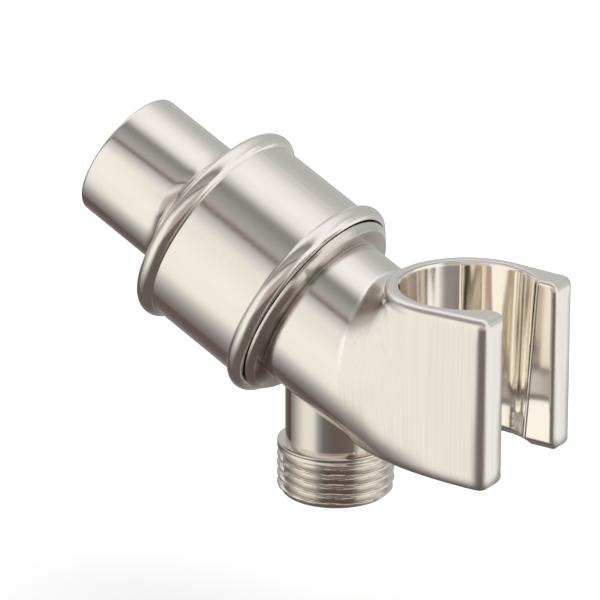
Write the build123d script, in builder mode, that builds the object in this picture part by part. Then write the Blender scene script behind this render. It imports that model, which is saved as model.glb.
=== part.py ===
"""Shower arm mount: a ball-jointed bracket that screws on a shower arm and cradles a hand shower.

Millimetres. The origin is the centre of the inlet's mouth, +Z is up, and the barrel (inlet, collar and
stem share one axis) runs forward along +X and down. The hose outlet and the cradle's bore are upright.
"""

from build123d import *
from math import acos, atan2, cos, hypot, radians, sin, sqrt, tan
import os

os.makedirs("parts", exist_ok=True)

# Barrel
lean = 26.4  # slope of the barrel below level, degrees

# Inlet sleeve with its ball, turned in one piece
sleeve_r = 12.2
sleeve_length = 15.4
sleeve_edge = 0.8  # rounded edge of the mouth
shoulder_r = 3.6  # rounded inner end of the sleeve
pipe_bore_r = 9.5  # crests of the half-inch pipe thread in the socket
socket_depth = 16.0
relief_r = 10.6  # groove past the thread's end
relief_length = 3.0
water_r = 5.0  # waterway through the ball and the stem
neck_length = 0.65  # straight neck between the shoulder and the ball
ball_r = 14.0
ball_flat = 1.6  # taken off the ball's front

# Washer, held in the groove past the thread, and the strainer in it
washer_gap = 0.4
washer_thick = 2.6
washer_width = 3.8  # from the washer's hole to its rim
screen_lap = 1.4  # the washer holds the strainer by this much of its rim
screen_thick = 0.7
screen_gap = 0.05
screen_hole_r = 0.6
screen_pitch = 1.7
screen_rings = 3

# Ball liner, held between the ball and the collar
swivel_gap = 0.2  # between each pair of spherical faces
liner_thick = 1.0
liner_back = 69.0  # degrees round the ball from the inlet side, where the liner starts
liner_front = 99.0  # degrees, where it ends

# Collar
bore_step = 0.6  # the threaded bore is this much wider than the ball's cup, each side
bore_start = 2.0  # threaded bore starts this far ahead of the ball's centre
collar_wall = 2.4  # round the threaded bore
bead_r = 1.8
back_bead_inset = 0.4  # how far inside the collar's surface the beads are centred
front_bead_inset = 0.3
back_recess = 0.5  # the back face lies this far inside the bead
pass_gap = 0.4  # the sleeve passes the lip, and the ball doesn't
lip_land = 0.5
flare_width = 2.4  # bell mouth of the lip
flare_depth = 0.65
mouth_step = 0.1  # the mouth round the disc is this much wider than the collar's surface
mouth_gap = 0.5  # behind the disc
bead_past = 0.2  # the front bead is centred this far past the mouth's floor

# Ball seat, its seal and the gasket behind it
seat_width = 5.1  # from the seat's hole to its rim
seat_land = 1.0  # straight part of the seat's hole
seal_r = 1.0  # section of the seal ring
seal_angle = 45.0  # where the seal touches the ball, degrees from the barrel's axis
seal_gap = 0.05
gasket_thick = 1.0
gasket_gap = 0.05
fit_gap = 0.05  # between turned faces that fit in each other
pick_gap = 0.05  # allowance when edges are picked by their place

# Holder body
spigot_wall = 3.2
rim_past = 0.05  # the spigot's rim lies this far past the seat's edge
floor_thick = 2.45  # from the gasket to the disc's front
disc_thick = 3.1
disc_gap = 0.3  # between the disc and the collar's mouth
disc_bevel = 1.0
outlet_past = 3.65  # the outlet's axis crosses the barrel's this far past the disc
water_step = 1.0  # the holder's waterway is this much wider than the ball's, each side
waterway_past = 4.0  # the waterway ends this far past the outlet's axis

# Cradle, from the crossing of the barrel's and the outlet's axes
bore_ahead = 27.5  # bore axis ahead of the outlet axis
cradle_top = 12.9
cradle_bottom = -18.4
arm_length = 12.6  # from the bore's axis to the front
bore_top_r = 12.0
bore_narrowing = 1.65
bore_wall = 2.95  # round the bore's top
stem_step = 0.45  # the stem is this much narrower than the ring round the bore, each side
slot_half = 8.1
arm_toe_in = 3.0  # the arms' outer sides close in towards the front, degrees
side_draft = 1.6  # the sides open this much upwards, degrees
shoulder_behind = 17.3  # upright plane in which the cradle's sides rise, behind the bore's axis
flank_bury = 6.0  # how far the flanks reach back inside the stem
ridge_share = 0.7  # and the share of the way to the middle where they are narrow
ridge_gap = 0.15
tangent_inset = 0.12
stem_bury = 8.0  # the stem ends this far behind the cradle's bore axis
corner_r = 1.7  # upright outer corners of the arms' ends
tip_r = 1.6  # upper edges of the arms' ends
top_edge_r = 0.8
bottom_edge_r = 1.2  # also the arms' upright inner corners, which it runs on into
mouth_bevel = 1.8  # bore and slot, where they open at the bottom

# Hose outlet
nipple_neck_r = 9.0
nipple_thread_r = 10.45
nipple_shoulder = -21.9  # heights from the crossing of the axes
nipple_end = -31.6
nipple_bevel = 0.9
nipple_hole_r = 5.6
nipple_seat = -8.0
nipple_spigot = 4.0  # the narrow end above the seat
nipple_root_r = 7.8
groove_drop = 0.9  # from the seat down to the seal's groove
outlet_seal_r = 0.9

# Radii that follow from the socket, the ball and the cradle's bore
washer_r = relief_r - washer_gap
washer_hole_r = washer_r - washer_width
screen_r = washer_hole_r + screen_lap
neck_r = sleeve_r - shoulder_r
liner_inner = ball_r + swivel_gap
liner_outer = liner_inner + liner_thick
cup_r = liner_outer + swivel_gap
collar_bore_r = cup_r + bore_step
collar_r = collar_bore_r + collar_wall
mouth_r = collar_r + mouth_step
spigot_r = collar_bore_r - fit_gap
counterbore_r = spigot_r - spigot_wall
seat_face_r = ball_r + swivel_gap
seat_r = counterbore_r - fit_gap
seat_hole_r = seat_r - seat_width
disc_r = mouth_r - disc_gap
ring_r = bore_top_r + bore_wall
stem_r = ring_r - stem_step

# Places along the barrel, from the inlet's mouth forward
neck_meets_ball = sleeve_length + shoulder_r + neck_length
ball_at = neck_meets_ball + sqrt(ball_r**2 - neck_r**2)
seat_outer_at = ball_at + sqrt(seat_face_r**2 - seat_r**2)
seat_inner_at = ball_at + sqrt(seat_face_r**2 - seat_hole_r**2)
seat_back = seat_inner_at + seat_land
gasket_at = seat_back + gasket_gap
spigot_rim = seat_outer_at + rim_past
spigot_floor = gasket_at + gasket_thick
disc_front = spigot_floor + floor_thick
disc_back = disc_front - disc_thick
mouth_floor = disc_back - mouth_gap
outlet_at = disc_front + outlet_past

# The barrel's directions: along it, and square to it in the upright middle plane
along = Vector(cos(radians(lean)), 0, -sin(radians(lean)))
barrel_axis = Axis((0, 0, 0), tuple(along))
middle = Plane(origin=(0, 0, 0), x_dir=tuple(along), z_dir=(0, -1, 0))
crossing = along * outlet_at


def barrel_plane(distance):
    """Plane square to the barrel at a distance from the mouth, with its Y upwards."""
    return Plane(origin=tuple(along * distance), x_dir=(0, 1, 0), z_dir=tuple(along))


def level_plane(height, ahead=0.0):
    """Level plane at a height and a distance ahead of the crossing of the axes."""
    return Plane(origin=(crossing.X + ahead, 0, crossing.Z + height))


def on_ball(radius, angle):
    """Point of the middle plane on a sphere round the ball's centre, degrees from the inlet side."""
    return (ball_at - radius * cos(radians(angle)), radius * sin(radians(angle)))


def save(name, item):
    item.part.label = name
    export_step(item.part, f"parts/{name}.step")
    print(name, round(item.part.volume, 1), "mm3")


# Inlet ball: socket, sleeve, rounded shoulder, neck and ball
ball_front = ball_at + ball_r - ball_flat
ball_face_r = sqrt(ball_r**2 - (ball_r - ball_flat) ** 2)
with BuildPart() as inlet_ball:
    with BuildSketch(middle):
        with BuildLine():
            Polyline(
                (ball_front, ball_face_r),
                (ball_front, water_r),
                (socket_depth, water_r),
                (socket_depth, relief_r),
                (socket_depth - relief_length, relief_r),
                (socket_depth - relief_length, pipe_bore_r),
                (0, pipe_bore_r),
                (0, sleeve_r - sleeve_edge),
            )
            RadiusArc((0, sleeve_r - sleeve_edge), (sleeve_edge, sleeve_r), sleeve_edge)
            Line((sleeve_edge, sleeve_r), (sleeve_length, sleeve_r))
            RadiusArc((sleeve_length, sleeve_r), (sleeve_length + shoulder_r, neck_r), shoulder_r)
            Line((sleeve_length + shoulder_r, neck_r), (neck_meets_ball, neck_r))
            ThreePointArc((neck_meets_ball, neck_r), (ball_at, ball_r), (ball_front, ball_face_r))
        make_face()
    revolve(axis=barrel_axis)
save("inlet_ball", inlet_ball)

# Washer, with a rebate for the strainer, and the strainer in it
washer_top = socket_depth - washer_thick
with BuildPart() as inlet_washer:
    with BuildSketch(barrel_plane(washer_top)):
        Circle(washer_r)
        Circle(washer_hole_r, mode=Mode.SUBTRACT)
    extrude(amount=washer_thick)
    with BuildSketch(barrel_plane(washer_top)):
        Circle(screen_r + screen_gap)
    extrude(amount=screen_thick + screen_gap, mode=Mode.SUBTRACT)
save("inlet_washer", inlet_washer)

with BuildPart() as inlet_screen:
    with BuildSketch(barrel_plane(washer_top + screen_gap)):
        Circle(screen_r)
        across = 2 * screen_rings + 1
        for column in range(across):
            offset = column - screen_rings
            count = across - abs(offset)
            with Locations((offset * screen_pitch * sqrt(3) / 2, 0)):
                with GridLocations(0, screen_pitch, 1, count):
                    Circle(screen_hole_r, mode=Mode.SUBTRACT)
    extrude(amount=screen_thick)
save("inlet_screen", inlet_screen)

# Ball liner: a band of a hollow sphere
liner_middle = (liner_back + liner_front) / 2
with BuildPart() as ball_liner:
    with BuildSketch(middle):
        with BuildLine():
            ThreePointArc(
                on_ball(liner_inner, liner_back),
                on_ball(liner_inner, liner_middle),
                on_ball(liner_inner, liner_front),
            )
            Line(on_ball(liner_inner, liner_front), on_ball(liner_outer, liner_front))
            ThreePointArc(
                on_ball(liner_outer, liner_front),
                on_ball(liner_outer, liner_middle),
                on_ball(liner_outer, liner_back),
            )
            Line(on_ball(liner_outer, liner_back), on_ball(liner_inner, liner_back))
        make_face()
    revolve(axis=barrel_axis)
save("ball_liner", ball_liner)

# Collar: a spool with a bead round each end, a spherical seat and a threaded bore
lip_r = sleeve_r + pass_gap
lip_front = ball_at - sqrt(cup_r**2 - lip_r**2)
lip_back = lip_front - lip_land
back_face = lip_back - flare_depth
back_bead_at = back_face + bead_r - back_recess
back_bead_ring_r = collar_r - back_bead_inset
front_bead_at = mouth_floor + bead_past
front_bead_ring_r = collar_r - front_bead_inset
back_bead_cut = sqrt(bead_r**2 - (collar_r - back_bead_ring_r) ** 2)
back_bead_foot = back_bead_ring_r - sqrt(bead_r**2 - (bead_r - back_recess) ** 2)
front_bead_cut = sqrt(bead_r**2 - (collar_r - front_bead_ring_r) ** 2)
mouth_edge = front_bead_at + sqrt(bead_r**2 - (mouth_r - front_bead_ring_r) ** 2)
with BuildPart() as collar:
    with BuildSketch(middle):
        with BuildLine():
            Polyline(
                (back_face, back_bead_foot),
                (back_face, lip_r + flare_width),
                (lip_back, lip_r),
                (lip_front, lip_r),
            )
            ThreePointArc((lip_front, lip_r), on_ball(cup_r, 75), (ball_at, cup_r))
            Polyline(
                (ball_at, cup_r),
                (ball_at + bore_start, cup_r),
                (ball_at + bore_start, collar_bore_r),
                (mouth_floor, collar_bore_r),
                (mouth_floor, mouth_r),
                (mouth_edge, mouth_r),
            )
            ThreePointArc(
                (mouth_edge, mouth_r),
                (front_bead_at, front_bead_ring_r + bead_r),
                (front_bead_at - front_bead_cut, collar_r),
            )
            Line((front_bead_at - front_bead_cut, collar_r), (back_bead_at + back_bead_cut, collar_r))
            ThreePointArc(
                (back_bead_at + back_bead_cut, collar_r),
                (back_bead_at, back_bead_ring_r + bead_r),
                (back_face, back_bead_foot),
            )
        make_face()
    revolve(axis=barrel_axis)
save("collar", collar)

# Ball seat: a ring with a spherical face and a groove for the seal
seal_path = on_ball(seat_face_r + seal_r, 180 - seal_angle)
with BuildPart() as ball_seat:
    with BuildSketch(middle):
        with BuildLine():
            ThreePointArc(
                (seat_outer_at, seat_r),
                on_ball(seat_face_r, 180 - seal_angle),
                (seat_inner_at, seat_hole_r),
            )
            Polyline(
                (seat_inner_at, seat_hole_r),
                (seat_back, seat_hole_r),
                (seat_back, seat_r),
                (seat_outer_at, seat_r),
            )
        make_face()
        with Locations(seal_path):
            Circle(seal_r + seal_gap, mode=Mode.SUBTRACT)
    revolve(axis=barrel_axis)
save("ball_seat", ball_seat)

with BuildPart() as ball_o_ring:
    with BuildSketch(middle):
        with Locations(seal_path):
            Circle(seal_r)
    revolve(axis=barrel_axis)
save("ball_o_ring", ball_o_ring)

with BuildPart() as seat_gasket:
    with BuildSketch(barrel_plane(gasket_at)):
        Circle(seat_r)
        Circle(seat_hole_r, mode=Mode.SUBTRACT)
    extrude(amount=gasket_thick)
save("seat_gasket", seat_gasket)

# Holder body. Its cradle is an upright block whose lower half is rounded like the stem.
bore_low_r = bore_top_r - bore_narrowing
block_height = cradle_top - cradle_bottom
shoulder_ahead = bore_ahead - shoulder_behind
bore_x = crossing.X + bore_ahead
nipple_top = nipple_seat + nipple_spigot
cradle_front = bore_ahead + arm_length
front_x = crossing.X + cradle_front
stem_rise = stem_r / cos(radians(lean))  # half the height of the stem in an upright section
shoulder_centre = -shoulder_ahead * tan(radians(lean))


def flank(height):
    """Outline of the block at a height: straight flanks from the stem's surface to the ring."""
    rise = max(height, shoulder_centre) - shoulder_centre
    half = stem_r * sqrt(max(0.0, 1 - (rise / stem_rise) ** 2))
    reach = bore_ahead - shoulder_ahead
    touch = ring_r - tangent_inset
    turn = atan2(half, reach) + acos(touch / hypot(reach, half))
    touch_x = bore_ahead - touch * cos(turn)
    touch_y = touch * sin(turn)
    slope = (touch_y - half) / (touch_x - shoulder_ahead)
    back = min(flank_bury, ridge_share * half / slope)
    back_x = shoulder_ahead - back
    back_y = half - slope * back
    return [(back_x, -back_y), (touch_x, -touch_y), (touch_x, touch_y), (back_x, back_y)]


def in_mouth(edge, inset):
    """Whether an edge of the underside follows the bore or the slot, this far from their walls."""
    ahead = edge.center().X - bore_x
    aside = abs(edge.center().Y)
    reach = inset + pick_gap
    return hypot(ahead, aside) < bore_low_r + reach or (ahead > 0 and aside < slot_half + reach)


tangent_x = ring_r * sin(radians(arm_toe_in))
tangent_y = ring_r * cos(radians(arm_toe_in))
front_half = tangent_y - (arm_length - tangent_x) * tan(radians(arm_toe_in))
flank_rise = stem_rise + shoulder_centre - ridge_gap
prism_length = (front_x + stem_r) / cos(radians(lean))
prism_rise = cradle_front * sin(radians(lean)) + cradle_top * cos(radians(lean)) + stem_r
side_open = prism_rise * tan(radians(side_draft))
stem_end = outlet_at + (bore_ahead - stem_bury) / cos(radians(lean))
with BuildPart() as holder_body:
    # ring and arms
    with BuildSketch(level_plane(cradle_bottom, bore_ahead)):
        with BuildLine():
            ThreePointArc((tangent_x, tangent_y), (-ring_r, 0), (tangent_x, -tangent_y))
            Polyline(
                (tangent_x, -tangent_y),
                (arm_length, -front_half),
                (arm_length, front_half),
                (tangent_x, tangent_y),
            )
        make_face()
    extrude(amount=block_height)
    fillet(holder_body.edges().filter_by(Axis.Z).group_by(Axis.X)[-1], radius=corner_r)
    # flanks that rise out of the stem
    with BuildSketch(level_plane(cradle_bottom)):
        with BuildLine():
            Polyline(*flank(shoulder_centre), close=True)
        make_face()
    extrude(amount=shoulder_centre - cradle_bottom)
    for share in (0.0, 0.3, 0.55, 0.75, 0.9, 1.0):
        height = shoulder_centre + share * (flank_rise - shoulder_centre)
        with BuildSketch(level_plane(height)):
            with BuildLine():
                Polyline(*flank(height), close=True)
            make_face()
    loft()
    # the lower half is rounded like the stem, and the sides open upwards
    with BuildSketch(barrel_plane(disc_back)):
        Circle(stem_r)
        with BuildLine():
            Polyline(
                (-stem_r, 0),
                (-stem_r - side_open, prism_rise),
                (stem_r + side_open, prism_rise),
                (stem_r, 0),
                close=True,
            )
        make_face()
    extrude(amount=prism_length, mode=Mode.INTERSECT)
    # stem
    with BuildSketch(barrel_plane(disc_back)):
        Circle(stem_r)
    extrude(amount=stem_end - disc_back)
    split(bisect_by=level_plane(cradle_bottom), keep=Keep.TOP)
    # tapered bore and slot
    with Locations((bore_x, 0, crossing.Z + (cradle_top + cradle_bottom) / 2)):
        Cone(bore_low_r, bore_top_r, block_height, mode=Mode.SUBTRACT)
    with BuildSketch(level_plane(cradle_bottom, bore_ahead)):
        with Locations((arm_length, 0)):
            Rectangle(2 * arm_length, 2 * slot_half)
    extrude(amount=block_height, mode=Mode.SUBTRACT)
    # eased edges: a bevel where bore and slot open at the bottom, rounds on all the others
    underside = holder_body.faces().filter_by(Axis.Z).group_by(Axis.Z)[0].edges()
    chamfer(underside.filter_by(lambda edge: in_mouth(edge, 0)), length=mouth_bevel)
    underside = holder_body.faces().filter_by(Axis.Z).group_by(Axis.Z)[0].edges()
    fillet(underside.filter_by(lambda edge: not in_mouth(edge, mouth_bevel)), radius=bottom_edge_r)
    upper_side = holder_body.faces().filter_by(Axis.Z).group_by(Axis.Z)[-1].edges()
    fillet(upper_side.group_by(Axis.X)[-1], radius=tip_r)
    upper_side = holder_body.faces().filter_by(Axis.Z).group_by(Axis.Z)[-1].edges()
    fillet(upper_side, radius=top_edge_r)
    # disc and threaded spigot
    with BuildSketch(middle):
        with BuildLine():
            Polyline(
                (spigot_rim, 0),
                (spigot_rim, spigot_r),
                (disc_back, spigot_r),
                (disc_back, disc_r),
                (disc_front - disc_bevel, disc_r),
                (disc_front, disc_r - disc_bevel),
                (disc_front, 0),
                close=True,
            )
        make_face()
    revolve(axis=barrel_axis)
    # room for the ball, its seat and the gasket, then the waterway
    with BuildSketch(barrel_plane(spigot_rim)):
        Circle(counterbore_r)
    extrude(amount=spigot_floor - spigot_rim, mode=Mode.SUBTRACT)
    with BuildSketch(barrel_plane(spigot_floor)):
        Circle(water_r + water_step)
    extrude(amount=outlet_at + waterway_past - spigot_floor, mode=Mode.SUBTRACT)
    # socket of the outlet nipple
    with BuildSketch(level_plane(nipple_seat)):
        Circle(nipple_neck_r + fit_gap)
    extrude(amount=-2 * stem_r, mode=Mode.SUBTRACT)
    with BuildSketch(level_plane(nipple_seat)):
        Circle(nipple_root_r + fit_gap)
    extrude(amount=nipple_spigot, mode=Mode.SUBTRACT)
    with BuildSketch(level_plane(nipple_top)):
        Circle(nipple_hole_r)
    extrude(amount=-nipple_top, mode=Mode.SUBTRACT)
save("holder_body", holder_body)

# Outlet nipple: spigot, sealed neck, and the hose thread's blank with a bevelled end
groove_top = nipple_seat - groove_drop
seal_at = groove_top - fit_gap - outlet_seal_r
groove_low = seal_at - outlet_seal_r - fit_gap
groove_r = nipple_neck_r - 2 * outlet_seal_r - fit_gap
with BuildPart() as outlet_nipple:
    with BuildSketch(Plane(origin=tuple(crossing), x_dir=(1, 0, 0), z_dir=(0, -1, 0))):
        with BuildLine():
            Polyline(
                (nipple_hole_r, nipple_top),
                (nipple_root_r, nipple_top),
                (nipple_root_r, nipple_seat),
                (nipple_neck_r, nipple_seat),
                (nipple_neck_r, groove_top),
                (groove_r, groove_top),
                (groove_r, groove_low),
                (nipple_neck_r, groove_low),
                (nipple_neck_r, nipple_shoulder),
                (nipple_thread_r, nipple_shoulder),
                (nipple_thread_r, nipple_end + nipple_bevel),
                (nipple_thread_r - nipple_bevel, nipple_end),
                (nipple_hole_r, nipple_end),
                close=True,
            )
        make_face()
    revolve(axis=Axis(tuple(crossing), (0, 0, 1)))
save("outlet_nipple", outlet_nipple)

with BuildPart() as outlet_o_ring:
    with BuildSketch(Plane(origin=tuple(crossing), x_dir=(1, 0, 0), z_dir=(0, -1, 0))):
        with Locations((nipple_neck_r - outlet_seal_r, seal_at)):
            Circle(outlet_seal_r)
    revolve(axis=Axis(tuple(crossing), (0, 0, 1)))
save("outlet_o_ring", outlet_o_ring)
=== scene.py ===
"""Looks of the shower arm mount: nickel finishes, cut threads, woven strainer, camera and studio light."""

from math import acos, asin, cos, degrees, pi, radians, sin, sqrt

import bpy
from mathutils import Matrix, Vector


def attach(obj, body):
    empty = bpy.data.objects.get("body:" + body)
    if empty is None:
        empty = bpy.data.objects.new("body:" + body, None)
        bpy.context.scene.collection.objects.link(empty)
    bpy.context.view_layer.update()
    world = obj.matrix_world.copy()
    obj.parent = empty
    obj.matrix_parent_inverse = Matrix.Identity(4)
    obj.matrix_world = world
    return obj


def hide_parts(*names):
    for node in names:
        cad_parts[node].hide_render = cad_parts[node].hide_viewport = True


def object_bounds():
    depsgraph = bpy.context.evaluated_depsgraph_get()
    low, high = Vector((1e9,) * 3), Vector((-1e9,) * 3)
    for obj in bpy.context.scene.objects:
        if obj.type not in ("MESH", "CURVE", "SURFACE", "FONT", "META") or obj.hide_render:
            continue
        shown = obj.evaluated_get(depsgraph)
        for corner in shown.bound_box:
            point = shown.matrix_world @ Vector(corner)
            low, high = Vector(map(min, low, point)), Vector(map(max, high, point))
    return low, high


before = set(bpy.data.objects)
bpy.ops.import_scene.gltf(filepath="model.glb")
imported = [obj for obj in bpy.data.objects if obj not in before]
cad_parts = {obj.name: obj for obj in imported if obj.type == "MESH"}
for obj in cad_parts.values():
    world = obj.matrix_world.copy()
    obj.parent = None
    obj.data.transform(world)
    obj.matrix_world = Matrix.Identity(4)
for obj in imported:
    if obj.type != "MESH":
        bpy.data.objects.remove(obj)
cad_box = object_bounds()

mm = 0.001

# Sizes of the solids, in millimetres: inlet with its ball, washer and strainer
lean = 26.4
sleeve_r = 12.2
sleeve_length = 15.4
sleeve_edge = 0.8
shoulder_r = 3.6
pipe_bore_r = 9.5
socket_depth = 16.0
relief_r = 10.6
relief_length = 3.0
water_r = 5.0
neck_length = 0.65
ball_r = 14.0
ball_face = 12.4
washer_thick = 2.6
screen_gap = 0.05
screen_r = 7.8
screen_thick = 0.7

# Outlet nipple: its places are distances below the crossing of the barrel's and the outlet's axes
nipple_top = 4.0
nipple_seat = 8.0
nipple_shoulder = 21.9
nipple_end = 31.6
nipple_root_r = 7.8
nipple_neck_r = 9.0
nipple_thread_r = 10.45
nipple_hole_r = 5.6
nipple_bevel = 0.9
groove_top = 8.9
groove_low = 10.8
groove_r = 7.15
shoulder_round = 0.3
end_round = 0.2
hole_bevel = 0.4

# Holder: places ahead of that crossing and over it, and places along the barrel
cradle_ahead = 27.5
cradle_top = 12.9
cradle_bottom = -18.4
bore_top_r = 12.0
bore_low_r = 10.35
slot_half = 8.1
crease_ahead = 10.2
crease_half = 0.6
stem_r = 14.5
disc_past_ball = 16.495
outlet_past_disc = 3.65

# Where the holder's shading differs from its solid: wider rounds, a flat side, polish near the walls
small_round = 0.5
front_round = 2.0
foot_round = 3.2
foot_rise = -4.0
flat_from = 17.2
flat_low = -12.0
flat_share = 0.85
polish_skin = 0.25

# Half-inch pipe thread, and how finely the turned pieces are divided
thread_pitch = 1.814
thread_depth = 1.1
thread_step = thread_pitch / 14
thread_clear = 0.4
thread_past_end = 5.0
turned_segments = 192

neck_r = sleeve_r - shoulder_r
ball_at = sleeve_length + shoulder_r + neck_length + sqrt(ball_r**2 - neck_r**2)
disc_front = ball_at + disc_past_ball
outlet_at = disc_front + outlet_past_disc

# Directions along the barrel and square to it, and the crossing of the axes
along = Vector((cos(radians(lean)), 0, -sin(radians(lean))))
square = Vector((sin(radians(lean)), 0, cos(radians(lean))))
crossing = along * outlet_at


# Nodes and materials
class Value:
    """A number's socket in a node tree. Arithmetic on it adds Math nodes."""

    def __init__(self, tree, socket):
        self.tree = tree
        self.socket = socket

    def math(self, operation, *others):
        inputs = dict(enumerate((self, *others)))
        return node(self.tree, "ShaderNodeMath", {"operation": operation}, inputs)

    def __add__(self, other):
        return self.math("ADD", other)

    def __sub__(self, other):
        return self.math("SUBTRACT", other)

    def __mul__(self, other):
        return self.math("MULTIPLY", other)

    def __truediv__(self, other):
        return self.math("DIVIDE", other)

    def __rsub__(self, other):
        return (self * -1).math("ADD", other)

    __radd__ = __add__
    __rmul__ = __mul__

    def held(self):
        """The value, kept between 0 and 1."""
        return self.math("MAXIMUM", 0.0).math("MINIMUM", 1.0)

    def eased(self):
        """A ramp from 0 to 1 with soft ends."""
        return self * self * (3 - self * 2)

    def below(self, edge, soft):
        """1 below the edge, 0 above it, and a ramp of the width soft between."""
        return ((edge - self) / soft + 0.5).held()

    def above(self, edge, soft):
        return 1 - self.below(edge, soft)


def node(tree, kind, settings=(), inputs=(), output=0):
    """Adds a node: its settings first, then the values or links of its sockets. Returns one output."""
    made = tree.nodes.new(kind)
    for name, setting in dict(settings).items():
        setattr(made, name, setting)
    for name, value in dict(inputs).items():
        if isinstance(value, Value):
            tree.links.new(value.socket, made.inputs[name])
        else:
            made.inputs[name].default_value = value
    return Value(tree, made.outputs[output]) if made.outputs else None


def grey(level, tint=(1.0, 1.0, 1.0)):
    return (level * tint[0], level * tint[1], level * tint[2], 1.0)


def new_material(name):
    material = bpy.data.materials.new(name)
    material.use_nodes = True
    material.node_tree.nodes.clear()
    return material, material.node_tree


def finish_with(tree, shader):
    node(tree, "ShaderNodeOutputMaterial", inputs={"Surface": shader})


def vector_of(tree, x, y, z):
    return node(tree, "ShaderNodeCombineXYZ", inputs={0: x, 1: y, 2: z})


def parts_of(tree, vector):
    """The three coordinates of a vector."""
    first = node(tree, "ShaderNodeSeparateXYZ", inputs={0: vector})
    return [Value(tree, output) for output in first.socket.node.outputs]


def place_in(tree):
    """The point's three coordinates in millimetres."""
    point = node(tree, "ShaderNodeTexCoord", output="Object")
    return [part / mm for part in parts_of(tree, point)]


def noise(tree, vector, scale=1.0, detail=2.0, roughness=0.5):
    return node(
        tree,
        "ShaderNodeTexNoise",
        {"noise_dimensions": "3D"},
        {"Vector": vector, "Scale": scale, "Detail": detail, "Roughness": roughness},
    )


def mix_color(tree, share, first, second):
    return node(
        tree,
        "ShaderNodeMix",
        {"data_type": "RGBA"},
        {"Factor": share, 6: first, 7: second},
        output=2,
    )


def mix_vector(tree, share, first, second):
    return node(
        tree,
        "ShaderNodeMix",
        {"data_type": "VECTOR"},
        {"Factor": share, 4: first, 5: second},
        output=1,
    )


def bump(tree, distance, height, **others):
    """A normal bent by a height. The distance is in millimetres."""
    inputs = {"Strength": 1.0, "Distance": distance * mm, "Height": height, **others}
    return node(tree, "ShaderNodeBump", inputs=inputs)


def round_barrel(x, y, z):
    """Place along the barrel's axis, height over it and distance from it."""
    forward = x * along.x + z * along.z
    upward = x * square.x + z * square.z
    return forward, upward, (y * y + upward * upward).math("SQRT")


def barrel_lines(tree, x, y, z):
    """Fine turning lines round the barrel's axis: quick along it and across it, slow around it."""
    forward, upward, radius = round_barrel(x, y, z)
    line = forward * 9.0 + radius * 9.0
    point = vector_of(tree, line, y * 0.25, upward * 0.25)
    return noise(tree, point, detail=3.0, roughness=0.6)


def clouded(tree, x, y, z, color, cloud):
    """A tint with faint wide clouds."""
    drift = noise(tree, vector_of(tree, x, y, z), scale=0.12, detail=2.0)
    return mix_color(tree, drift, grey(1 - cloud, color), grey(1.0, color))


def nickel(name, color, roughness, depth, lines, cloud):
    """A nickel finish. lines(tree, x, y, z) gives the height of its turning lines."""
    material, tree = new_material(name)
    x, y, z = place_in(tree)
    height = lines(tree, x, y, z)
    shader = node(
        tree,
        "ShaderNodeBsdfPrincipled",
        inputs={
            "Base Color": clouded(tree, x, y, z, color, cloud),
            "Metallic": 1.0,
            "Roughness": height * 0.06 + (roughness - 0.03),
            "Normal": bump(tree, depth, height),
        },
    )
    finish_with(tree, shader)
    return material


# Tints of the finishes and of the studio
nickel_tint = (0.90, 0.872, 0.828)
cream = (1.0, 0.975, 0.915)
lilac = (1.0, 0.975, 0.985)
stone = (0.985, 1.0, 0.975)
umber = (1.0, 0.80, 0.77)
plain = (1.0, 0.98, 0.96)
bore_tint = (0.99, 0.95, 0.88)
# tint of the painted shade in the corner between the disc and the stem
corner_shade_tint = (1.0, 0.90, 0.82)
nipple_tint = (0.80, 0.755, 0.70)
wire_dark = (0.50, 0.49, 0.46)
wire_light = (0.66, 0.65, 0.63)

turned_nickel = nickel(
    "turned_satin_nickel",
    nickel_tint,
    roughness=0.085,
    depth=0.012,
    lines=barrel_lines,
    cloud=0.03,
)


def holder_normal(tree, x, y, z, on_cradle, in_bore, polished, ridge_and_highlight, brush):
    """The holder's shading: rounded edges, flat sides, waves in the bore, fine brush lines."""
    rise = z - crossing.z
    ahead = x - crossing.x
    # edges look rounded: a little at the bore and the top, more at the cradle's front and foot
    sharp = node(tree, "ShaderNodeBevel", {"samples": 6}, {"Radius": small_round * mm})
    reach = (rise.below(foot_rise, 10.0) * (foot_round - front_round) + front_round) * mm
    wide = node(tree, "ShaderNodeBevel", {"samples": 12}, {"Radius": reach})
    outside = on_cradle * (1 - polished) * rise.below(cradle_top - 3.0, 2.0)
    rounded = mix_vector(tree, outside, sharp, wide)
    # beside the bore, the hollow of the stem runs out into the flat side
    side = node(
        tree,
        "ShaderNodeVectorTransform",
        {"vector_type": "NORMAL", "convert_from": "OBJECT", "convert_to": "WORLD"},
        {0: vector_of(tree, 0.0, y.math("SIGN"), 0.0)},
    )
    flat = ahead.above(flat_from, 4.5) * ahead.below(cradle_ahead, 5.0)
    flat = flat * rise.below(cradle_top - 1.6, 1.4) * rise.above(flat_low, 6.0) * flat_share
    smooth = mix_vector(tree, flat * (1 - polished), rounded, side)
    # slow waves along the bore's wall, as drawing and polishing leave them
    bore_point = vector_of(tree, (ahead - cradle_ahead) * 0.3, y * 0.3, rise * 0.006)
    ripple = noise(tree, bore_point, detail=0.0)
    waved = bump(tree, 0.5, ripple * in_bore + ridge_and_highlight * 0.1, Normal=smooth)
    # the polished walls keep only a trace of the brush lines
    return bump(tree, 0.012, brush * ((1 - polished) * 0.92 + 0.08), Normal=waved)


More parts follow.
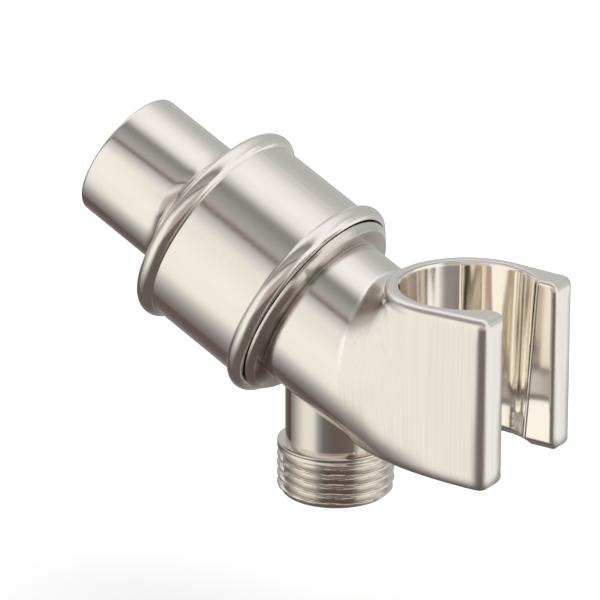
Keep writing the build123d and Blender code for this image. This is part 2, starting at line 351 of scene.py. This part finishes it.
def holder_material():
    """The holder body: turned stem, cradle with upright brush lines, polished bore and slot; painted
    highlight and painted corner shade.
    """
    material, tree = new_material("holder_nickel")
    x, y, z = place_in(tree)
    rise = z - crossing.z
    ahead = x - crossing.x
    from_bore = ahead - cradle_ahead
    on_cradle = ahead.above(crease_ahead, 0.6)
    # turned lines on the stem, upright lines on the cradle
    turned = barrel_lines(tree, x, y, z)
    upright = noise(tree, vector_of(tree, x * 2.2, y * 2.2, z * 0.04), detail=4.0, roughness=0.55)
    brush = turned * (1 - on_cradle) + upright * on_cradle
    # the bore's wall widens upwards, and the slot's walls are flat
    slope = (bore_top_r - bore_low_r) / (cradle_top - cradle_bottom)
    wall = (rise - cradle_bottom) * slope + bore_low_r
    radius = (from_bore * from_bore + y * y).math("SQRT")
    in_bore = (radius - wall).below(polish_skin, 0.2)
    in_slot = y.math("ABSOLUTE").below(slot_half + polish_skin, 0.2) * from_bore.above(5.0, 0.5)
    polished = in_bore.math("MAXIMUM", in_slot) * on_cradle
    # painted highlight: a bright soft line of white colour where the brushed side starts, with a low bump
    # ridge
    ridge_and_highlight = (1 - ((ahead - crease_ahead) / crease_half).math("ABSOLUTE")).math("MAXIMUM", 0.0)
    ridge_and_highlight = ridge_and_highlight.eased() * rise.above(0.0, 6.0)
    # faint clouds and streaks in the brushed nickel
    even = clouded(tree, x, y, z, nickel_tint, cloud=0.03)
    streak = (upright * 3 - 1.1) * on_cradle
    streaked = mix_color(tree, streak, even, grey(0.945, nickel_tint))
    # the painted highlight turns the colour white along the ridge
    brushed = mix_color(tree, ridge_and_highlight, streaked, grey(1.0))
    # painted shade: the colour darkens into the corner between the disc and the stem
    forward, _, from_axis = round_barrel(x, y, z)
    on_disc = forward.below(disc_front + 0.4, 0.4)
    corner = on_disc * from_axis.below(stem_r + 3.0, 3.2) * y.below(6.0, 14.0)
    corner_shaded = mix_color(tree, corner, brushed, grey(0.45, corner_shade_tint))
    satin = on_cradle * 0.12 + brush * 0.08 + 0.05
    shader = node(
        tree,
        "ShaderNodeBsdfPrincipled",
        inputs={
            "Base Color": mix_color(tree, polished, corner_shaded, grey(1.0, bore_tint)),
            "Metallic": 1.0,
            "Roughness": satin * (1 - polished) + polished * 0.085,
            "Normal": holder_normal(tree, x, y, z, on_cradle, in_bore, polished, ridge_and_highlight, brush),
        },
    )
    finish_with(tree, shader)
    return material


def upright_turning(tree, x, y, z):
    """Faint turning lines round the outlet's axis."""
    ahead = x - crossing.x
    radius = (ahead * ahead + y * y).math("SQRT")
    line = z * 3.0 + radius * 3.0
    return noise(tree, vector_of(tree, line, ahead * 0.1, y * 0.1), detail=1.0)


polished_nickel = nickel(
    "polished_nickel",
    nipple_tint,
    roughness=0.075,
    depth=0.0012,
    lines=upright_turning,
    cloud=0.02,
)


def plain_material(name, color, darker, roughness, scale, depth):
    """A moulded plastic or rubber: faint mottle, fine grain."""
    material, tree = new_material(name)
    point = vector_of(tree, *place_in(tree))
    mottle = noise(tree, point, scale=0.4, detail=3.0)
    grain = noise(tree, point, scale=scale, detail=2.0)
    shader = node(
        tree,
        "ShaderNodeBsdfPrincipled",
        inputs={
            "Base Color": mix_color(tree, mottle, grey(1.0, darker), grey(1.0, color)),
            "Roughness": grain * 0.1 + roughness,
            "Normal": bump(tree, depth, grain, Strength=0.6),
        },
    )
    finish_with(tree, shader)
    return material


acetal = plain_material(
    "acetal",
    color=(0.84, 0.84, 0.81),
    darker=(0.78, 0.78, 0.75),
    roughness=0.32,
    scale=6.0,
    depth=0.01,
)
seal_rubber = plain_material(
    "seal_rubber",
    color=(0.035, 0.035, 0.036),
    darker=(0.02, 0.02, 0.021),
    roughness=0.5,
    scale=9.0,
    depth=0.02,
)


def wire_material():
    """Drawn stainless wire with a little tarnish."""
    material, tree = new_material("strainer_wire")
    stain = noise(tree, vector_of(tree, *place_in(tree)), scale=1.5, detail=3.0)
    shader = node(
        tree,
        "ShaderNodeBsdfPrincipled",
        inputs={
            "Base Color": mix_color(tree, stain, grey(1.0, wire_dark), grey(1.0, wire_light)),
            "Metallic": 1.0,
            "Roughness": stain * 0.15 + 0.22,
        },
    )
    finish_with(tree, shader)
    return material


strainer_wire = wire_material()
holder_nickel = holder_material()

for name, material in {
    "collar": turned_nickel,
    "holder_body": holder_nickel,
    "ball_liner": acetal,
    "ball_seat": acetal,
    "ball_o_ring": seal_rubber,
    "seat_gasket": seal_rubber,
    "inlet_washer": seal_rubber,
    "outlet_o_ring": seal_rubber,
}.items():
    for material_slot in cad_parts[name].material_slots:
        material_slot.material = material


# Geometry node trees
def new_geometry_tree(name, first, numbers):
    """A geometry tree and its inputs' values: a geometry, some numbers and the material."""
    tree = bpy.data.node_groups.new(name, "GeometryNodeTree")
    sockets = tree.interface
    sockets.new_socket(first, in_out="INPUT", socket_type="NodeSocketGeometry")
    for title in numbers:
        sockets.new_socket(title, in_out="INPUT", socket_type="NodeSocketFloat")
    sockets.new_socket("Finish", in_out="INPUT", socket_type="NodeSocketMaterial")
    sockets.new_socket("Piece", in_out="OUTPUT", socket_type="NodeSocketGeometry")
    group = tree.nodes.new("NodeGroupInput")
    return tree, [Value(tree, group.outputs[n]) for n in range(len(numbers) + 2)]


def end_geometry_tree(tree, geometry, finish):
    """Makes the instances real, sets the material and gives the piece out."""
    real = node(tree, "GeometryNodeRealizeInstances", inputs={"Geometry": geometry})
    done = node(tree, "GeometryNodeSetMaterial", inputs={"Geometry": real, "Material": finish})
    node(tree, "NodeGroupOutput", inputs={"Piece": done})


# Turned pieces with a real thread
def rows(start, end, radius, step):
    """Closely spaced points along a cylinder that a thread is cut in."""
    count = round(abs(end - start) / step)
    return [(start + (end - start) * n / count, radius) for n in range(count + 1)]


def arc(centre, radius, first, last, steps):
    """Points on a round corner of an outline, angles in degrees from the axis."""
    points = []
    for n in range(steps + 1):
        angle = radians(first + (last - first) * n / steps)
        points.append((centre[0] + radius * cos(angle), centre[1] + radius * sin(angle)))
    return points


def turned_blank(name, outline, segments):
    """Mesh of a closed outline of (distance, radius) points turned round the Z axis."""
    count = len(outline)
    points = []
    faces = []
    for n in range(segments):
        angle = 2 * pi * n / segments
        for distance, radius in outline:
            points.append((radius * cos(angle) * mm, radius * sin(angle) * mm, distance * mm))
    for n in range(segments):
        here = n * count
        there = ((n + 1) % segments) * count
        for k in range(count):
            after = (k + 1) % count
            faces.append((here + k, there + k, there + after, here + after))
    mesh = bpy.data.meshes.new(name)
    mesh.from_pydata(points, [], faces)
    mesh.update()
    return mesh


def thread_tree():
    """Cuts a thread in the rows of points that lie at the crest's radius, round the Z axis."""
    tree, (blank, crest, depth, pitch, start, end, run_out, finish) = new_geometry_tree(
        "cut_thread", "Blank", ("Crest radius", "Depth", "Pitch", "Start", "End", "Run-out")
    )
    x, y, z = parts_of(tree, node(tree, "GeometryNodeInputPosition"))
    radius = (x * x + y * y).math("SQRT")
    # one groove per turn, with a narrow flat at crest and root
    turn = y.math("ARCTAN2", x) / (2 * pi)
    phase = (z / pitch + turn).math("FRACT")
    flank = 1 - (phase * 2 - 1).math("ABSOLUTE")
    groove = (flank * 1.3 - 0.12).held().eased()
    # it fades in and out, and spares the points that aren't at the crest's radius
    fade = ((z - start) / run_out).held() * ((end - z) / run_out).held()
    chosen = (radius - crest).math("ABSOLUTE").math("LESS_THAN", 0.02 * mm)
    change = groove * fade * depth * chosen / radius
    offset = vector_of(tree, x * change, y * change, 0.0)
    moved = node(tree, "GeometryNodeSetPosition", inputs={"Geometry": blank, "Offset": offset})
    end_geometry_tree(tree, moved, finish)
    return tree


def grown(name, tree, mesh, inputs, place):
    """The plain mesh that a tree makes from a start mesh, put in its place. inputs are by socket title."""
    start = bpy.data.objects.new(name + "_start", mesh)
    bpy.context.scene.collection.objects.link(start)
    modifier = start.modifiers.new(name, "NODES")
    modifier.node_group = tree
    for item in tree.interface.items_tree:
        if item.item_type == "SOCKET" and item.in_out == "INPUT" and item.name in inputs:
            modifier[item.identifier] = inputs[item.name]
    start.update_tag()
    graph = bpy.context.evaluated_depsgraph_get()
    result = bpy.data.meshes.new_from_object(start.evaluated_get(graph))
    start.modifiers.remove(modifier)
    bpy.data.objects.remove(start)
    result.name = name
    result.transform(place)
    piece = bpy.data.objects.new(name, result)
    bpy.context.scene.collection.objects.link(piece)
    return piece


def smooth_but_sharp(piece, edge_angle):
    """Smooth shading, with sharp edges where two faces meet at more than the angle, in degrees."""
    for polygon in piece.data.polygons:
        polygon.use_smooth = True
    piece.data.set_sharp_from_angle(angle=radians(edge_angle))


barrel_place = Matrix((
    (0, -square.x, along.x, 0),
    (1, 0, 0, 0),
    (0, -square.z, along.z, 0),
    (0, 0, 0, 1),
))
outlet_place = Matrix.Translation(crossing * mm) @ Matrix.Rotation(pi, 4, "X")
cut_thread = thread_tree()

round_at = nipple_shoulder + shoulder_round
nipple_outline = (
    [(nipple_top, nipple_hole_r), (nipple_top, nipple_root_r)]
    + [(nipple_seat, nipple_root_r), (nipple_seat, nipple_neck_r)]
    + [(groove_top, nipple_neck_r), (groove_top, groove_r), (groove_low, groove_r)]
    + [(groove_low, nipple_neck_r), (nipple_shoulder, nipple_neck_r)]
    + arc((round_at, nipple_thread_r - shoulder_round), shoulder_round, 180, 90, 4)[:-1]
    + rows(round_at, nipple_end - nipple_bevel, nipple_thread_r, thread_step)
    + [(nipple_end - end_round, nipple_thread_r - nipple_bevel + end_round / 2)]
    + [(nipple_end, nipple_thread_r - nipple_bevel - end_round / 2)]
    + [(nipple_end, nipple_hole_r + hole_bevel), (nipple_end - hole_bevel, nipple_hole_r)]
)
nipple = grown(
    "outlet_nipple_threaded",
    cut_thread,
    turned_blank("nipple_blank", nipple_outline, turned_segments),
    {
        "Crest radius": nipple_thread_r * mm,
        "Depth": -thread_depth * mm,
        "Pitch": thread_pitch * mm,
        "Start": (nipple_shoulder + thread_clear) * mm,
        "End": (nipple_end + thread_past_end) * mm,
        "Run-out": 1.5 * mm,
        "Finish": polished_nickel,
    },
    outlet_place,
)
smooth_but_sharp(nipple, edge_angle=32)
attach(nipple, "holder")
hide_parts("outlet_nipple")

ball_from = degrees(acos(ball_face / ball_r))
ball_to = 180 - degrees(asin(neck_r / ball_r))
inlet_outline = (
    rows(0, socket_depth - relief_length, pipe_bore_r, thread_step)
    + [(socket_depth - relief_length, relief_r), (socket_depth, relief_r), (socket_depth, water_r)]
    + [(ball_at + ball_face, water_r)]
    + arc((ball_at, 0), ball_r, ball_from, ball_to, 48)
    + [(sleeve_length + shoulder_r, neck_r)]
    + arc((sleeve_length, neck_r), shoulder_r, 0, 90, 12)[1:]
    + arc((sleeve_edge, sleeve_r - sleeve_edge), sleeve_edge, 90, 180, 6)
)
inlet = grown(
    "inlet_ball_threaded",
    cut_thread,
    turned_blank("inlet_blank", inlet_outline[::-1], turned_segments),
    {
        "Crest radius": pipe_bore_r * mm,
        "Depth": thread_depth * mm,
        "Pitch": thread_pitch * mm,
        "Start": -thread_past_end * mm,
        "End": (socket_depth - relief_length) * mm,
        "Run-out": 0.9 * mm,
        "Finish": turned_nickel,
    },
    barrel_place,
)
smooth_but_sharp(inlet, edge_angle=32)
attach(inlet, "inlet")
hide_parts("inlet_ball")


# Woven strainer
def joined(tree, *pieces):
    join = node(tree, "GeometryNodeJoinGeometry")
    for piece in pieces:
        tree.links.new(piece.socket, join.socket.node.inputs[0])
    return join


def circle(tree, points, radius):
    inputs = {"Resolution": points, "Radius": radius}
    return node(tree, "GeometryNodeCurvePrimitiveCircle", {"mode": "RADIUS"}, inputs)


def weave_tree():
    """Plain weave of round wires inside a circle, with a rim ring, square to the Z axis."""
    tree, (_, reach, pitch, wire, rim, finish) = new_geometry_tree(
        "woven_strainer", "Nothing", ("Radius", "Pitch", "Wire radius", "Rim radius")
    )
    # straight wires side by side, each as long as the circle is wide there
    count = (reach * 2 / pitch).math("FLOOR")
    line = node(
        tree,
        "GeometryNodeMeshLine",
        {"mode": "OFFSET", "count_mode": "TOTAL"},
        {
            "Count": count + 1,
            "Start Location": vector_of(tree, 0.0, count * pitch * -0.5, 0.0),
            "Offset": vector_of(tree, 0.0, pitch, 0.0),
        },
    )
    single = node(
        tree,
        "GeometryNodeCurvePrimitiveLine",
        {"mode": "POINTS"},
        {"Start": vector_of(tree, reach * -1, 0.0, 0.0), "End": vector_of(tree, reach, 0.0, 0.0)},
    )
    fine = node(tree, "GeometryNodeResampleCurve", inputs={"Curve": single, "Count": 130})
    x, y, _ = parts_of(tree, node(tree, "GeometryNodeInputPosition"))
    chord = (1 - (y / reach) * (y / reach)).math("MAXIMUM", 0.0004).math("SQRT")
    wires = node(
        tree,
        "GeometryNodeInstanceOnPoints",
        inputs={"Points": line, "Instance": fine, "Scale": vector_of(tree, chord, 1.0, 1.0)},
    )
    straight = node(tree, "GeometryNodeRealizeInstances", inputs={"Geometry": wires})
    # two families that wave over and under each other, the second a quarter turn on
    wave = ((x + y) / pitch * pi).math("COSINE") * wire
    first, second = [
        node(
            tree,
            "GeometryNodeSetPosition",
            inputs={"Geometry": straight, "Offset": vector_of(tree, 0.0, 0.0, wave * side)},
        )
        for side in (1, -1)
    ]
    crossed = node(
        tree,
        "GeometryNodeTransform",
        inputs={"Geometry": second, "Rotation": (0.0, 0.0, pi / 2)},
    )
    cloth = node(
        tree,
        "GeometryNodeCurveToMesh",
        inputs={
            "Curve": joined(tree, first, crossed),
            "Profile Curve": circle(tree, 8, wire),
            "Fill Caps": True,
        },
    )
    hoop = node(
        tree,
        "GeometryNodeCurveToMesh",
        inputs={"Curve": circle(tree, 96, reach - rim), "Profile Curve": circle(tree, 12, rim)},
    )
    end_geometry_tree(tree, joined(tree, cloth, hoop), finish)
    return tree


screen_middle = socket_depth - washer_thick + screen_gap + screen_thick / 2
strainer = grown(
    "inlet_screen_woven",
    weave_tree(),
    bpy.data.meshes.new("nothing"),
    {
        "Radius": screen_r * mm,
        "Pitch": 0.9 * mm,
        "Wire radius": 0.15 * mm,
        "Rim radius": 0.34 * mm,
        "Finish": strainer_wire,
    },
    Matrix.Translation(along * screen_middle * mm) @ barrel_place,
)
smooth_but_sharp(strainer, edge_angle=60)
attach(strainer, "inlet")
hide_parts("inlet_screen")


# Floor and studio
aim = Vector((0.03825, 0.0, -0.01899))  # the point that lamps and camera look at
floor_reach = 4.0
floor_gap = 0.03


def levels_by_angle(tree, place, levels):
    """A ramp over -180 to 180 degrees, from (degrees, level, tint) entries."""
    color = node(tree, "ShaderNodeValToRGB", inputs={"Fac": place})
    stops = color.socket.node.color_ramp.elements
    while len(stops) < len(levels):
        stops.new(1.0)
    for stop, (angle, level, tint) in zip(stops, levels):
        stop.position = (angle + 180) / 360
        stop.color = grey(level, tint)
    return color


def studio_world():
    """White behind the object, soft even light, and for reflections pale panels with darker gaps."""
    world = bpy.data.worlds.new("studio")
    bpy.context.scene.world = world
    world.use_nodes = True
    tree = world.node_tree
    tree.nodes.clear()
    # heading round the upright axis, and angle over the object from the back to the front
    x, y, z = parts_of(tree, node(tree, "ShaderNodeTexCoord", output="Generated"))
    heading = y.math("ARCTAN2", x) / (2 * pi) + 0.5
    over = y.math("ARCTAN2", z) / (2 * pi) + 0.5
    low = levels_by_angle(tree, heading, [
        (-180, 0.24, umber),
        (-166, 0.38, plain),
        (-152, 0.62, plain),
        (-140, 0.84, cream),
        (-131, 0.97, cream),
        (-118, 0.97, cream),
        (-108, 0.90, cream),
        (-96, 0.40, plain),
        (-84, 0.18, plain),
        (-64, 0.16, umber),
        (-50, 0.16, umber),
        (-30, 0.17, umber),
        (-16, 0.20, umber),
        (-8, 0.46, plain),
        (2, 0.84, plain),
        (12, 0.98, cream),
        (34, 0.98, plain),
        (56, 1.00, plain),
        (64, 0.90, plain),
        (72, 0.58, lilac),
        (105, 0.54, lilac),
        (138, 0.30, plain),
        (153, 0.17, umber),
        (168, 0.11, umber),
    ])
    level = levels_by_angle(tree, heading, [
        (-180, 0.34, plain),
        (-160, 0.60, plain),
        (-145, 0.95, cream),
        (-112, 1.00, cream),
        (-100, 0.90, cream),
        (-92, 0.55, plain),
        (-60, 0.46, umber),
        (-25, 0.50, plain),
        (-8, 0.98, plain),
        (40, 1.00, plain),
        (52, 0.60, stone),
        (80, 0.50, stone),
        (112, 0.50, stone),
        (126, 0.62, lilac),
        (145, 0.50, plain),
        (165, 0.38, plain),
    ])
    high = levels_by_angle(tree, over, [
        (-120, 0.95, cream),
        (-88, 0.97, cream),
        (-70, 1.00, cream),
        (-63, 0.95, cream),
        (-55, 0.74, plain),
        (-47, 0.50, plain),
        (-44.4, 0.40, plain),
        (-43.2, 0.17, umber),
        (-41.2, 0.17, umber),
        (-39.4, 0.38, umber),
        (-36, 0.42, plain),
        (-29, 0.37, plain),
        (-17, 0.26, plain),
        (-12, 0.30, plain),
        (-5, 0.65, plain),
        (1, 0.90, lilac),
        (12, 0.99, lilac),
        (23, 0.97, lilac),
        (34, 0.87, lilac),
        (45, 0.68, plain),
        (58, 0.55, stone),
        (72, 0.48, stone),
        (90, 0.51, stone),
        (120, 0.60, stone),
    ])
    middle = mix_color(tree, z.above(sin(radians(-12)), 0.16), low, level)
    whole = mix_color(tree, z.above(sin(radians(24)), 0.2), middle, high)
    reflected = mix_color(tree, z.below(sin(radians(-42)), 0.42), whole, grey(0.14, umber))
    to_camera = node(tree, "ShaderNodeLightPath", output="Is Camera Ray")
    glossy = node(tree, "ShaderNodeLightPath", output="Is Glossy Ray")
    soft = mix_color(tree, glossy, grey(0.55), reflected)
    seen = mix_color(tree, to_camera, soft, grey(1.0))
    background = node(tree, "ShaderNodeBackground", inputs={"Color": seen, "Strength": 1.0})
    node(tree, "ShaderNodeOutputWorld", inputs={"Surface": background})


def pale_floor():
    """A pale floor under the object, white to the camera, that keeps a soft shadow near the object."""
    material, tree = new_material("floor_white")
    x, y, _ = place_in(tree)
    away = (x * x + y * y).math("SQRT")
    to_camera = node(tree, "ShaderNodeLightPath", output="Is Camera Ray")
    strength = to_camera * (away * 0.0015 + 0.04)
    lit = node(tree, "ShaderNodeBsdfDiffuse", inputs={"Color": grey(0.86)})
    glow = node(tree, "ShaderNodeEmission", inputs={"Color": grey(1.0), "Strength": strength})
    finish_with(tree, node(tree, "ShaderNodeAddShader", inputs={0: lit, 1: glow}))
    mesh = bpy.data.meshes.new("floor")
    level = cad_box[0][2] - floor_gap
    corners = [
        (-floor_reach, -floor_reach, level),
        (floor_reach, -floor_reach, level),
        (floor_reach, floor_reach, level),
        (-floor_reach, floor_reach, level),
    ]
    mesh.from_pydata(corners, [], [(0, 1, 2, 3)])
    mesh.materials.append(material)
    floor = bpy.data.objects.new("floor", mesh)
    bpy.context.scene.collection.objects.link(floor)
    floor.visible_glossy = False


def direction(heading, height):
    """Direction at a heading from the X axis and a height over the floor, in degrees."""
    a, e = radians(heading), radians(height)
    return Vector((cos(a) * cos(e), sin(a) * cos(e), sin(e)))


def lamp(name, heading, height, distance, size, power):
    """A soft square lamp that looks at the object."""
    light = bpy.data.lights.new(name, "AREA")
    light.size = size
    light.energy = power
    fixture = bpy.data.objects.new(name, light)
    back = direction(heading, height)
    facing = back.to_track_quat("Z", "Y").to_matrix().to_4x4()
    fixture.matrix_world = Matrix.Translation(aim + back * distance) @ facing
    fixture.visible_glossy = False
    bpy.context.scene.collection.objects.link(fixture)


studio_world()
pale_floor()
lamp("front_left", heading=-115, height=35, distance=1.2, size=1.2, power=7.0)
lamp("right", heading=20, height=30, distance=1.2, size=1.0, power=5.0)
lamp("overhead", heading=90, height=75, distance=1.3, size=1.4, power=7.0)

# Camera at the photograph's angle
camera_turn = 34.60
camera_height = 20.42
camera_roll = 0.07
camera_distance = 0.877
back = direction(camera_turn - 90, camera_height)
level_right = direction(camera_turn, 0)
level_up = back.cross(level_right)
roll = radians(camera_roll)
right = level_right * cos(roll) + level_up * sin(roll)
up = level_up * cos(roll) - level_right * sin(roll)
camera_data = bpy.data.cameras.new("camera")
camera_data.sensor_width = 36.0
camera_data.lens = 297.96
camera_data.shift_x = -0.0037
camera_data.shift_y = -0.0092
camera_data.clip_end = 50
camera = bpy.data.objects.new("camera", camera_data)
facing = Matrix((right, up, back)).transposed().to_4x4()
camera.matrix_world = Matrix.Translation(aim + back * camera_distance) @ facing
bpy.context.scene.collection.objects.link(camera)
bpy.context.scene.camera = camera
bpy.context.scene.view_settings.view_transform = "Standard"
